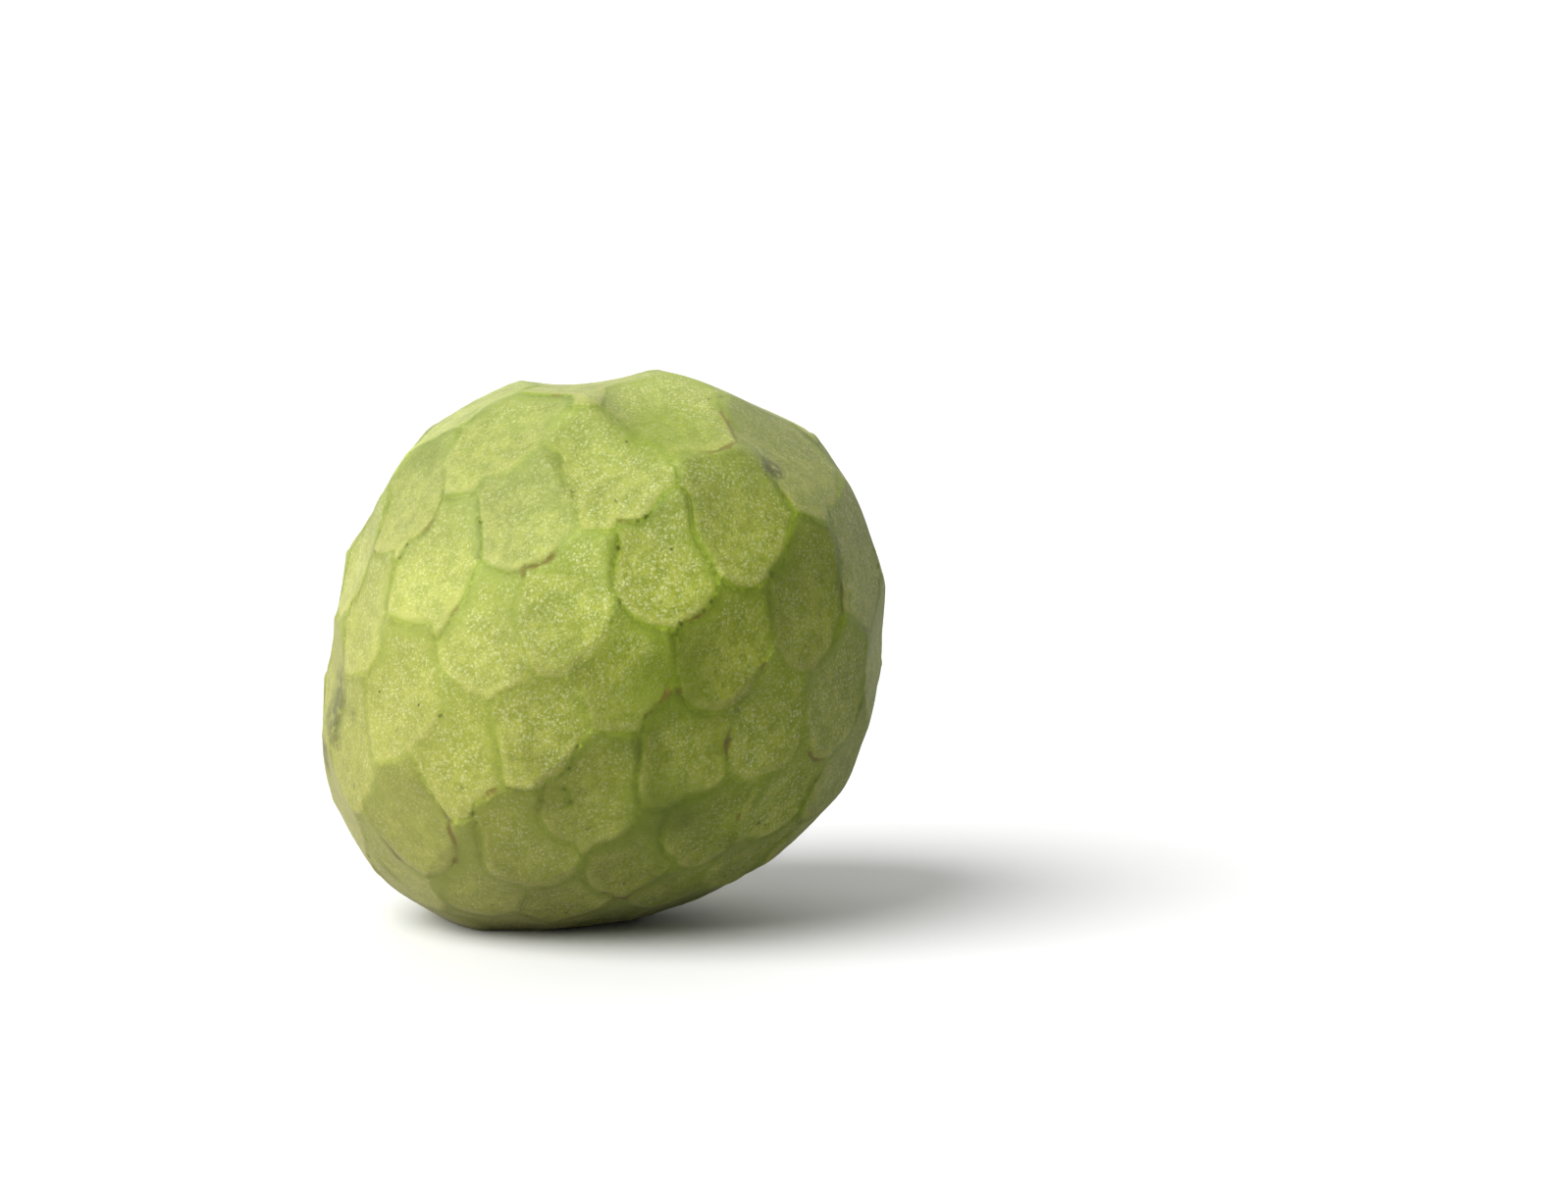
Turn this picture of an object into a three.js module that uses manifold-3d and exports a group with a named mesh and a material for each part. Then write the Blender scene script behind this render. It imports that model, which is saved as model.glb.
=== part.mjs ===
// Custard apple: a whole smooth-skinned cherimoya standing on its blossom end, stem end up.
// Millimetres, +Z up. The side shown in the photo faces -Y, with its right hand towards +X.
// The body is a rounded form given by its radius in every direction. Its skin is laid out in
// tongue-shaped scales, one for each carpel, set along a spiral that runs from stem to tip.
// Each scale shows an almost flat face, joined to the next at a fine groove.
import * as THREE from 'three';
import { mergeVertices } from 'three/addons/utils/BufferGeometryUtils.js';
import Module from 'manifold-3d';

// Body outline seen from the front: radius towards each hour of the clock, from twelve round.
const centreHeight = 47.5;
const hourRadii = [47.8, 52.0, 54.0, 51.2, 50.6, 47.8, 48.4, 53.8, 51.8, 45.2, 44.9, 47.5];
const frontRadius = 47.0;
const backRadius = 48.2;

// Stem axis: how far it leans to the right and to the back, in degrees.
const leanRight = 2.7;
const leanBack = 12.4;

// Spiral of the scales, and how far each may stray from it.
const scaleCount = 97;
const divergence = -137.46;
const firstBearing = 348;
const spreadPower = 0.833;
const wander = 0.4;
const sizeWander = 0.04;
const liftWander = 0.12;
const placeSeed = 4211;
const skinRadius = 49.0;
const leastRing = 0.3;

// Scales that sit off the spiral on the side shown: millimetres to the right and towards the tip.
const strays = {
  13: [1.5, -1],
  16: [1, -2],
  18: [-1.5, 1],
  21: [2, -2.5],
  29: [1.5, -3],
  37: [0, -3],
  42: [2.5, -3.5],
  47: [0, -3],
  50: [0, -1],
  55: [1, -1],
  60: [1.5, -3],
  63: [0.5, -3],
  68: [0, 1.5],
  71: [0, 2],
  73: [1.5, -1],
  76: [2, 2],
  81: [2, 1],
};

// How far one scale reaches over its neighbours, in millimetres along the skin: a is measured from
// its middle line, b from its middle to its tip. The scale that lies highest is the one that shows.
const halfWidth = 7.7;
const tipReach = 10.6;
const shoulder = 1.0;
const roundness = 2.2;
const tiltRise = 0.28;
const flatness = 0.55;
const flatReach = 8.0;
const rimRise = 0.08;
const edgeFall = 0.4;
const edgeWidth = 1.2;
const outerSlope = 0.6;
const tailReach = 9.5;
const tailBend = 0.12;

// The face it shows: a facet of 1 would be quite flat, and 0 would follow the body. Every face leans
// with its tip inwards, which keeps the step small where it ends over the next one.
const facet = 0.95;
const dip = 0.03;
const leanWander = 0.024;
const leanSeed = 1907;
const dish = 0.06;
const settle = 0.45;
const grooveDepth = 0.14;
const grooveLeast = 0.25;

// Slow waves over the skin. Each row says how fast a wave runs along X, Y and Z, and its phase.
// These bend the scales' outlines along each axis.
const waveSize = 1.0;
const bendWaves = {
  x: [[0, 11, 0, 1.3], [12.1, 0, 18.7, 0.4]],
  y: [[0, 0, 11, 2.1], [17.6, 9.9, 0, 5.2]],
  z: [[11, 0, 0, 4.0], [0, 19.8, -13.2, 2.6]],
};

// These make the seams come and go, from shallow at the low level to full at the high one.
const seamWaves = [[5.1, 0, -3.3, 0.7], [0, 4.3, 6.1, 2.2], [7.9, 5.7, 0, 4.1]];
const seamLow = -1.6;
const seamHigh = 1.2;

// Hollow round the stalk: the scales fade out towards it between these shares of its width.
const hollowDepth = 4.8;
const hollowWidth = 6.6;
const fadeFrom = 0.4;
const fadeTo = 2.2;

// Stalk and its socket. Each row of the profile is a share of the stalk's radius and a share of
// the height that stands out of the socket.
const socketRadius = 3.4;
const socketDepth = 3.4;
const stalkGap = 0.3;
const stalkHeight = 4.2;
const stalkProfile = [[1, 0.07], [0.86, 0.33], [0.8, 0.71], [0.86, 0.9], [0.78, 1]];
const roundSides = 24;

// Everything below this block's top is cut off, which leaves the small flat spot underneath.
const groundSize = 200;

// Mesh.
const meshDetail = 22;
const snapReach = 0.95;
const snapPasses = 3;
const probeStep = 0.15;
const nearby = Math.cos(THREE.MathUtils.degToRad(29));

const material = (color, roughness) =>
  new THREE.MeshStandardMaterial({ color, roughness, metalness: 0 });

const smoothStep = (low, high, x) => {
  const t = Math.min(Math.max((x - low) / (high - low), 0), 1);
  return t * t * (3 - 2 * t);
};

// Repeatable draws between -1 and 1.
function makeDraws(seed) {
  let state = seed;
  return () => {
    state = (state * 16807) % 2147483647;
    return (state / 2147483647) * 2 - 1;
  };
}

// Stem axis and the two level directions round it: front is bearing 0, side is bearing 90.
function stemFrame() {
  const right = Math.sin(THREE.MathUtils.degToRad(leanRight));
  const back = Math.sin(THREE.MathUtils.degToRad(leanBack));
  const stem = new THREE.Vector3(right, back, Math.sqrt(1 - right * right - back * back));
  const front = new THREE.Vector3(0, -1, 0);
  front.addScaledVector(stem, -front.dot(stem)).normalize();
  const side = new THREE.Vector3().crossVectors(front, stem).negate();
  return { stem, front, side };
}

// Smooth closed curve through the hour radii.
function outlineRadius(hour) {
  const count = hourRadii.length;
  const low = Math.floor(hour);
  const f = hour - low;
  const at = (k) => hourRadii[(low + k + count) % count];
  const [a, b, c, d] = [at(-1), at(0), at(1), at(2)];
  return b + 0.5 * f * (c - a + f * (2 * a - 5 * b + 4 * c - d + f * (3 * (b - c) + d - a)));
}

// Radius of the body under its skin, along a unit direction.
function bodyRadius(dir) {
  const hour = ((Math.atan2(dir.x, dir.z) / (2 * Math.PI)) * 12 + 12) % 12;
  const depth = dir.y * dir.y;
  const middle = (frontRadius + backRadius) / 2 + ((backRadius - frontRadius) / 2) * dir.y;
  return outlineRadius(hour) * (1 - depth) + middle * depth;
}

// Scales along the spiral, each with its place and the directions across it and to its tip.
function layScales({ stem, front, side }) {
  const draw = makeDraws(placeSeed);
  const leanDraw = makeDraws(leanSeed);
  const laid = [];
  for (let i = 0; i < scaleCount; i += 1) {
    const [strayRight, strayDown] = strays[i] ?? [0, 0];
    const even = Math.acos(1 - (2 * (i + 0.5)) / scaleCount);
    const shiftDown = draw() * wander + strayDown;
    const drop = Math.PI * (even / Math.PI) ** spreadPower + shiftDown / skinRadius;
    const ring = skinRadius * Math.max(Math.sin(drop), leastRing);
    const shiftRight = draw() * wander + strayRight;
    const turn = THREE.MathUtils.degToRad(firstBearing + divergence * i);
    const bearing = turn + shiftRight / ring;
    const place = stem.clone().multiplyScalar(Math.cos(drop));
    place.addScaledVector(front, Math.sin(drop) * Math.cos(bearing));
    place.addScaledVector(side, Math.sin(drop) * Math.sin(bearing));
    const down = stem.clone().negate();
    down.addScaledVector(place, -down.dot(place)).normalize();
    const across = new THREE.Vector3().crossVectors(down, place);
    const size = 1 + sizeWander * draw();
    const lift = liftWander * draw();
    const leanAcross = leanWander * leanDraw();
    const leanDown = leanWander * leanDraw() - dip;
    laid.push({ place, down, across, size, lift, leanAcross, leanDown });
  }
  return laid;
}

// Sum of a set of slow waves along a direction.
function sumWaves({ x, y, z }, waves) {
  const level = ([alongX, alongY, alongZ, phase]) =>
    Math.sin(alongX * x + alongY * y + alongZ * z + phase);
  return waves.reduce((sum, wave) => sum + level(wave), 0);
}

// Direction bent a little by the slow waves.
function bend(dir) {
  const size = (0.5 * waveSize) / skinRadius;
  const push = new THREE.Vector3(
    sumWaves(dir, bendWaves.x),
    sumWaves(dir, bendWaves.y),
    sumWaves(dir, bendWaves.z),
  );
  return push.multiplyScalar(size).add(dir).normalize();
}

// How high one scale lies over its neighbours along a bent direction.
function plateHeight(scale, bent) {
  const a = bent.dot(scale.across) * skinRadius;
  const b = bent.dot(scale.down) * skinRadius;
  const width = halfWidth * scale.size;
  const end = Math.max(b - shoulder, 0) / (tipReach * scale.size - shoulder);
  const reach = (Math.abs(a / width) ** roundness + end ** roundness) ** (1 / roundness);
  const outside = (reach - 1) * width;
  const fall = edgeFall * smoothStep(-edgeWidth, edgeWidth, outside);
  const beyond = outerSlope * Math.max(outside, 0);
  const tail = tailBend * Math.max(-b - tailReach, 0) ** 2;
  const tilt = (tiltRise * b) / tipReach;
  const bow = Math.min(a * a, flatReach * flatReach) + Math.max(b, 0) ** 2;
  const flat = (flatness * bow) / (2 * skinRadius);
  const rim = rimRise * Math.min(reach, 1) ** 3;
  return scale.lift + tilt + flat + rim - fall - beyond - tail;
}

// Height of one scale's face over the body along a bent direction.
function faceHeight(scale, bent) {
  const a = bent.dot(scale.across) * skinRadius;
  const b = bent.dot(scale.down) * skinRadius;
  const flat = (facet * (a * a + b * b)) / (2 * skinRadius);
  const lean = a * scale.leanAcross + b * scale.leanDown;
  const reach = Math.hypot(a / halfWidth, Math.max(b, 0) / tipReach);
  return scale.lift + flat + lean + dish * Math.min(reach, 1) ** 3 - settle;
}

// The two highest scales along a direction.
function findPair(dir, scales) {
  const bent = bend(dir);
  const ranked = scales.map((scale) => ({ scale, height: plateHeight(scale, bent) }));
  ranked.sort((one, two) => two.height - one.height);
  return [ranked[0].scale, ranked[1].scale];
}

// Seams come and go: how deep each is cut.
function seamCut(dir) {
  const strength = smoothStep(seamLow, seamHigh, sumWaves(dir, seamWaves));
  return grooveDepth * (grooveLeast + (1 - grooveLeast) * strength);
}

// Slides a direction onto the seam between its two highest scales, if the seam is near.
function snapToSeam(start, pair, scales, stem) {
  const gap = (d) => {
    const bent = bend(d);
    return plateHeight(pair[0], bent) - plateHeight(pair[1], bent);
  };
  const one = new THREE.Vector3().crossVectors(start, stem).normalize();
  const two = new THREE.Vector3().crossVectors(start, one);
  const probe = probeStep / skinRadius;
  const dir = start.clone();
  for (let pass = 0; pass < snapPasses; pass += 1) {
    const here = gap(dir);
    const riseOne = (gap(dir.clone().addScaledVector(one, probe).normalize()) - here) / probe;
    const riseTwo = (gap(dir.clone().addScaledVector(two, probe).normalize()) - here) / probe;
    const steep = riseOne * riseOne + riseTwo * riseTwo;
    dir.addScaledVector(one, (-here * riseOne) / steep);
    dir.addScaledVector(two, (-here * riseTwo) / steep);
    dir.normalize();
  }
  const moved = dir.distanceTo(start) * skinRadius;
  const kept = moved < snapReach && pair.includes(findPair(dir, scales)[0]);
  return kept ? dir : null;
}

// Point of the skin nearest a direction: on a seam where one is close, else on a scale's face.
function skinPoint(dir, scales, stem) {
  const near = scales.filter((scale) => dir.dot(scale.place) > nearby);
  const pair = findPair(dir, near);
  const onSeam = snapToSeam(dir, pair, near, stem);
  const point = onSeam ?? dir.clone();
  const bent = bend(point);
  const between = (faceHeight(pair[0], bent) + faceHeight(pair[1], bent)) / 2 - seamCut(point);
  const height = onSeam ? between : faceHeight(pair[0], bent);
  const fromStem = Math.acos(Math.min(point.dot(stem), 1)) * skinRadius;
  const present = smoothStep(fadeFrom * hollowWidth, fadeTo * hollowWidth, fromStem);
  const hollow = hollowDepth * Math.exp(-((fromStem / hollowWidth) ** 2));
  return point.multiplyScalar(bodyRadius(point) + height * present - hollow);
}

function bodyGeometry(scales, stem) {
  const plain = new THREE.IcosahedronGeometry(1, meshDetail);
  plain.deleteAttribute('normal');
  plain.deleteAttribute('uv');
  const geometry = mergeVertices(plain, 1e-5);
  const position = geometry.getAttribute('position');
  const dir = new THREE.Vector3();
  for (let i = 0; i < position.count; i += 1) {
    dir.fromBufferAttribute(position, i).normalize();
    const point = skinPoint(dir, scales, stem);
    position.setXYZ(i, point.x, point.y, point.z + centreHeight);
  }
  return geometry;
}

const wasm = await Module();
wasm.setup();

function toSolid(geometry) {
  const bare = geometry.clone();
  bare.deleteAttribute('normal');
  bare.deleteAttribute('uv');
  const merged = mergeVertices(bare, 1e-4);
  const vertProperties = Float32Array.from(merged.getAttribute('position').array);
  const triVerts = Uint32Array.from(merged.getIndex().array);
  return new wasm.Manifold(new wasm.Mesh({ numProp: 3, vertProperties, triVerts }));
}

function toGeometry(solid) {
  const mesh = solid.getMesh();
  const geometry = new THREE.BufferGeometry();
  geometry.setAttribute('position', new THREE.BufferAttribute(mesh.vertProperties, 3));
  geometry.setIndex(new THREE.BufferAttribute(mesh.triVerts, 1));
  geometry.computeVertexNormals();
  return geometry;
}

// Stands a form made along +Z on the stem axis, its foot that far from the body's centre.
function ontoStemAxis(geometry, stem, fromCentre) {
  const turn = new THREE.Quaternion().setFromUnitVectors(new THREE.Vector3(0, 0, 1), stem);
  geometry.applyQuaternion(turn);
  const foot = stem.clone().multiplyScalar(fromCentre);
  geometry.translate(foot.x, foot.y, foot.z + centreHeight);
  return geometry;
}

function makeFruit(scales, stem, hollowFloor) {
  const body = toSolid(bodyGeometry(scales, stem));
  const ground = new THREE.BoxGeometry(groundSize, groundSize, groundSize);
  ground.translate(0, 0, -groundSize / 2);
  const deep = socketDepth + hollowDepth;
  const socket = new THREE.CylinderGeometry(socketRadius, socketRadius, deep, roundSides);
  socket.rotateX(Math.PI / 2);
  socket.translate(0, 0, deep / 2);
  const hole = toSolid(ontoStemAxis(socket, stem, hollowFloor - socketDepth));
  const solid = body.subtract(toSolid(ground)).subtract(hole);
  const fruit = new THREE.Mesh(toGeometry(solid), material(0x93a84e, 0.6));
  fruit.name = 'fruit';
  return fruit;
}

// Short woody stalk, clipped square, a little wider where it meets the fruit.
function makeStalk(stem, hollowFloor) {
  const radius = socketRadius - stalkGap;
  const inside = socketDepth - stalkGap;
  const rows = stalkProfile.map(
    ([out, up]) => new THREE.Vector2(radius * out, inside + stalkHeight * up),
  );
  const foot = [new THREE.Vector2(0, 0), new THREE.Vector2(radius, 0)];
  const profile = [...foot, ...rows, new THREE.Vector2(0, inside + stalkHeight)];
  const form = new THREE.LatheGeometry(profile, roundSides);
  form.rotateX(Math.PI / 2);
  const standing = ontoStemAxis(form, stem, hollowFloor - inside);
  const stalk = new THREE.Mesh(standing, material(0x6b4f34, 0.85));
  stalk.name = 'stem';
  return stalk;
}

const frame = stemFrame();
const scales = layScales(frame);
const hollowFloor = bodyRadius(frame.stem) - hollowDepth;

const custardApple = new THREE.Group();
custardApple.name = 'custard_apple';
custardApple.add(makeFruit(scales, frame.stem, hollowFloor));
custardApple.add(makeStalk(frame.stem, hollowFloor));

export default custardApple;
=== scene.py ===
# Custard apple standing stem end up: its skin, its stalk, the floor, the light and the camera.
# Metres, +Z up. The side shown in the photo faces -Y, with its right hand towards +X.
import math

import bmesh
import bpy
import numpy as np
from mathutils import Matrix, Vector
from mathutils.kdtree import KDTree


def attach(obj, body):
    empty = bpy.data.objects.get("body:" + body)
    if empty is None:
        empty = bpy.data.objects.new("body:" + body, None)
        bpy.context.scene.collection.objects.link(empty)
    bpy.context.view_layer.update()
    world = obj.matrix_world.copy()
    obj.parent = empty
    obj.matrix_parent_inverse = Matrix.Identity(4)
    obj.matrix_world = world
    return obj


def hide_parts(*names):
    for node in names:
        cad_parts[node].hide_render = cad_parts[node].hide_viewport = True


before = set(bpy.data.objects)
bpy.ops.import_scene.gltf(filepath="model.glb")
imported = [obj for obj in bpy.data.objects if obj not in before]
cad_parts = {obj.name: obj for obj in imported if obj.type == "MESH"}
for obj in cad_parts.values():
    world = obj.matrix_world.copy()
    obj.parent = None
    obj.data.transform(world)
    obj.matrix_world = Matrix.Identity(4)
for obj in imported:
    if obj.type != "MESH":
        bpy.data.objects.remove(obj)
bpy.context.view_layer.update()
print("frame loaded:", sorted(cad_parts))

# Body: radius towards each hour of the clock seen from the front, and towards front and back.
body = {
    "centreHeight": 0.0475,
    "hourRadii": [
        0.0478, 0.0520, 0.0540, 0.0512, 0.0506, 0.0478,
        0.0484, 0.0538, 0.0518, 0.0452, 0.0449, 0.0475,
    ],
    "frontRadius": 0.047,
    "backRadius": 0.0482,
    "leanRight": 2.7,     # stem axis, degrees
    "leanBack": 12.4,
    "seed": 4211,
}

# Scales: a spiral from stem to tip, with those that sit off it on the side shown.
spiral = {
    "count": 97,
    "divergence": -137.46,
    "firstBearing": 348.0,
    "spreadPower": 0.833,
    "wander": 0.0004,
    "sizeWander": 0.04,
    "liftWander": 0.00012,
    "skinRadius": 0.049,
    "leastRing": 0.3,      # keeps a shift near a pole small
    "nearby": 29.0,        # degrees within which a scale matters
    "probe": 0.00015,
    "askew": (0.31, 0.17, 0.94),    # start for the two ways across the skin
    "leastSlope": 0.001,
    "slopeTrust": 0.0003,    # how much nearer than found the slope may put a seam
    "leanSeed": 1907,
    "strays": {            # metres to the right and towards the tip
        13: (0.0015, -0.001), 16: (0.001, -0.002), 18: (-0.0015, 0.001), 21: (0.002, -0.0025),
        29: (0.0015, -0.003), 37: (0.0, -0.003), 42: (0.0025, -0.0035), 47: (0.0, -0.003),
        50: (0.0, -0.001), 55: (0.001, -0.001), 60: (0.0015, -0.003), 63: (0.0005, -0.003),
        68: (0.0, 0.0015), 71: (0.0, 0.002), 73: (0.0015, -0.001), 76: (0.002, 0.002),
        81: (0.002, 0.001),
    },
}

# One scale: the plate that says how far it reaches over its neighbours, in metres along the skin.
plate = {
    "halfWidth": 0.0077,
    "tipReach": 0.0106,
    "shoulder": 0.001,
    "roundness": 2.2,
    "tiltRise": 0.00028,
    "flatness": 0.55,
    "flatReach": 0.008,
    "rimRise": 0.00008,
    "edgeFall": 0.0004,
    "edgeWidth": 0.0012,
    "outerSlope": 0.6,
    "tailReach": 0.0095,
    "tailBend": 120.0,
    "waveSize": 0.001,
    "waveRate": 11.0,
    "bendWaves": [         # for the push along x, y and z: rates along x, y and z, and start
        [(0.0, 1.0, 0.0, 1.3), (1.1, 0.0, 1.7, 0.4)],
        [(0.0, 0.0, 1.0, 2.1), (1.6, 0.9, 0.0, 5.2)],
        [(1.0, 0.0, 0.0, 4.0), (0.0, 1.8, -1.2, 2.6)],
    ],
}

# The face it shows: almost flat, leaning a little its own way, joined softly to the next.
face = {
    "facet": 0.95,         # 1 is a flat face, 0 follows the body
    "dip": 0.03,           # lean of every face, tip inwards
    "leanWander": 0.024,
    "dish": 0.00006,
    "crispRounds": 2,      # rounds of averaging across a low step and across a high one
    "softRounds": 16,
    "stepLow": 0.0001,
    "stepHigh": 0.0006,
    "groove": 0.00014,
    "grooveLeast": 0.25,
    "grooveWidth": 0.0007,
    "settle": 0.00045,
    "scarBack": 0.0022,    # style scar, back from the tip
    "seamWaves": [(5.1, 0.0, -3.3, 0.7), (0.0, 4.3, 6.1, 2.2), (7.9, 5.7, 0.0, 4.1)],
    "seamLow": -1.6,       # sum of the waves where a seam is faintest and strongest
    "seamHigh": 1.2,
}

# Hollow round the stalk: the scales fade out towards it between two shares of its width.
hollow = {
    "depth": 0.0048,
    "width": 0.0066,
    "fadeFrom": 0.4,
    "fadeTo": 2.2,
    "socketRadius": 0.0034,
    "socketEdge": 0.9,     # share of its radius where the socket's wall starts
    "socketDepth": 0.0034,
}

toMm = 1000    # the finishes read distances in millimetres


def smoothStep(low, high, x):
    t = np.clip((x - low) / (high - low), 0, 1)
    return t * t * (3 - 2 * t)


def unit(v):
    return v / np.linalg.norm(v, axis=-1, keepdims=True)


def makeDraws(seed):    # repeatable draws between -1 and 1
    state = [seed]

    def draw():
        state[0] = (state[0] * 16807) % 2147483647
        return state[0] / 2147483647 * 2 - 1

    return draw


def stemFrame():
    right = math.sin(math.radians(body["leanRight"]))
    back = math.sin(math.radians(body["leanBack"]))
    stem = np.array([right, back, math.sqrt(1 - right * right - back * back)])
    front = np.array([0.0, -1.0, 0.0])
    front = unit(front - stem * front.dot(stem))
    return stem, front, -np.cross(front, stem)


def bodyRadius(dirs):
    hours = np.array(body["hourRadii"])
    count = len(hours)
    hour = (np.arctan2(dirs[:, 0], dirs[:, 2]) / (2 * math.pi) * count) % count
    low = np.floor(hour).astype(int)
    f = hour - low
    a, b, c, d = (hours[(low + k) % count] for k in (-1, 0, 1, 2))
    outline = b + 0.5 * f * (c - a + f * (2 * a - 5 * b + 4 * c - d + f * (3 * (b - c) + d - a)))
    depth = dirs[:, 1] ** 2
    middle = (body["frontRadius"] + body["backRadius"]) / 2
    middle = middle + (body["backRadius"] - body["frontRadius"]) / 2 * dirs[:, 1]
    return outline * (1 - depth) + middle * depth


def layScales():
    stem, front, side = stemFrame()
    draw = makeDraws(body["seed"])
    radius = spiral["skinRadius"]
    leanDraw = makeDraws(spiral["leanSeed"])
    names = ["place", "down", "across", "size", "lift", "leanAcross", "leanDown"]
    laid = {name: [] for name in names}
    for i in range(spiral["count"]):
        strayRight, strayDown = spiral["strays"].get(i, (0.0, 0.0))
        even = math.acos(1 - 2 * (i + 0.5) / spiral["count"])
        shiftDown = draw() * spiral["wander"] + strayDown
        drop = math.pi * (even / math.pi) ** spiral["spreadPower"] + shiftDown / radius
        ring = radius * max(math.sin(drop), spiral["leastRing"])
        shiftRight = draw() * spiral["wander"] + strayRight
        bearing = math.radians(spiral["firstBearing"] + spiral["divergence"] * i) + shiftRight / ring
        level = front * math.cos(bearing) + side * math.sin(bearing)
        place = stem * math.cos(drop) + level * math.sin(drop)
        down = unit(place * stem.dot(place) - stem)
        laid["place"].append(place)
        laid["down"].append(down)
        laid["across"].append(np.cross(down, place))
        laid["size"].append(1 + spiral["sizeWander"] * draw())
        laid["lift"].append(spiral["liftWander"] * draw())
        laid["leanAcross"].append(face["leanWander"] * leanDraw())
        laid["leanDown"].append(face["leanWander"] * leanDraw() - face["dip"])
    return {name: np.array(values) for name, values in laid.items()}


def sumWaves(dirs, waves):    # each wave: its rates along x, y and z, and its start
    return sum(np.sin(dirs @ np.array(rates) + start) for *rates, start in waves)


def bend(dirs):    # slow waves that bend the scales' outlines
    push = np.stack([sumWaves(plate["waveRate"] * dirs, waves) for waves in plate["bendWaves"]], 1)
    return unit(dirs + push * (0.5 * plate["waveSize"] / spiral["skinRadius"]))


def onPlate(scales, which, bent):    # metres across a scale and towards its tip
    radius = spiral["skinRadius"]
    across = (bent * scales["across"][which]).sum(-1) * radius
    return across, (bent * scales["down"][which]).sum(-1) * radius


# How high a scale's plate lies over its neighbours: the highest one shows.
def plateHeight(scales, which, bent):
    size = scales["size"][which]
    a, b = onPlate(scales, which, bent)
    width = plate["halfWidth"] * size
    end = np.maximum(b - plate["shoulder"], 0) / (plate["tipReach"] * size - plate["shoulder"])
    power = plate["roundness"]
    reach = (np.abs(a / width) ** power + end ** power) ** (1 / power)
    outside = (reach - 1) * width
    fall = plate["edgeFall"] * smoothStep(-plate["edgeWidth"], plate["edgeWidth"], outside)
    beyond = plate["outerSlope"] * np.maximum(outside, 0)
    tail = plate["tailBend"] * np.maximum(-b - plate["tailReach"], 0) ** 2
    tilt = plate["tiltRise"] * b / plate["tipReach"]
    bow = np.minimum(a * a, plate["flatReach"] ** 2) + np.maximum(b, 0) ** 2
    flat = plate["flatness"] * bow / (2 * spiral["skinRadius"])
    rim = plate["rimRise"] * np.minimum(reach, 1) ** 3
    return scales["lift"][which] + tilt + flat + rim - fall - beyond - tail


# Height of a scale's face over the body.
def faceHeight(scales, which, bent):
    a, b = onPlate(scales, which, bent)
    flat = face["facet"] * (a * a + b * b) / (2 * spiral["skinRadius"])
    lean = a * scales["leanAcross"][which] + b * scales["leanDown"][which]
    reach = np.hypot(a / plate["halfWidth"], np.maximum(b, 0) / plate["tipReach"])
    return scales["lift"][which] + flat + lean + face["dish"] * np.minimum(reach, 1) ** 3 - face["settle"]


def findOwner(dirs, scales):    # the scale that shows in each direction
    bent = bend(dirs)
    reach = math.cos(math.radians(spiral["nearby"]))
    high = np.full(len(dirs), -1.0)
    owner = np.zeros(len(dirs), int)
    for k, place in enumerate(scales["place"]):
        rows = np.flatnonzero(dirs @ place > reach)
        height = plateHeight(scales, k, bent[rows])
        wins = height > high[rows]
        high[rows[wins]] = height[wins]
        owner[rows[wins]] = k
    return owner


def gapBetween(dirs, scales, one, two):
    bent = bend(dirs)
    return plateHeight(scales, one, bent) - plateHeight(scales, two, bent)


# Distance to the seam between two scales by the slope of their gap, and the slide that leads to it.
def seamSlide(dirs, scales, one, two):
    wayOne = unit(np.cross(dirs, spiral["askew"]))
    wayTwo = np.cross(dirs, wayOne)
    probe = spiral["probe"] / spiral["skinRadius"]
    here = gapBetween(dirs, scales, one, two)
    riseOne = (gapBetween(unit(dirs + wayOne * probe), scales, one, two) - here) / probe
    riseTwo = (gapBetween(unit(dirs + wayTwo * probe), scales, one, two) - here) / probe
    steep = np.maximum(np.hypot(riseOne, riseTwo), spiral["leastSlope"])
    slide = -(wayOne * riseOne[:, None] + wayTwo * riseTwo[:, None]) * (here / steep ** 2)[:, None]
    return np.abs(here) / steep * spiral["skinRadius"], slide


# Nearest seam to each direction: how far it is, and which scale lies across it.
def findSeams(dirs, edges, scales, owner):
    crossing = edges[owner[edges[:, 0]] != owner[edges[:, 1]]]
    ends = dirs[crossing[:, 0]], dirs[crossing[:, 1]]
    pair = owner[crossing[:, 0]], owner[crossing[:, 1]]
    gaps = [gapBetween(end, scales, *pair) for end in ends]
    share = np.clip(gaps[0] / np.maximum(gaps[0] - gaps[1], 1e-12), 0, 1)[:, None]
    points = unit(ends[0] * (1 - share) + ends[1] * share)
    tree = KDTree(len(points))
    for i, point in enumerate(points):
        tree.insert(point, i)
    tree.balance()
    found = [tree.find(d)[1:] for d in dirs]
    nearest = np.array([row[0] for row in found])
    away = np.array([row[1] for row in found]) * spiral["skinRadius"]
    one, two = pair[0][nearest], pair[1][nearest]
    toOne, toTwo = (np.linalg.norm(scales["place"][side] - dirs, axis=1) for side in (one, two))
    nearer = np.where(toOne < toTwo, one, two)
    other = np.where(one == owner, two, np.where(two == owner, one, nearer))
    bySlope, slide = seamSlide(dirs, scales, owner, other)
    return np.minimum(away, np.maximum(bySlope, away - spiral["slopeTrust"])), other, slide


# Seams come and go: how strongly each is cut.
def seamStrength(dirs):
    return smoothStep(face["seamLow"], face["seamHigh"], sumWaves(dirs, face["seamWaves"]))


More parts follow.
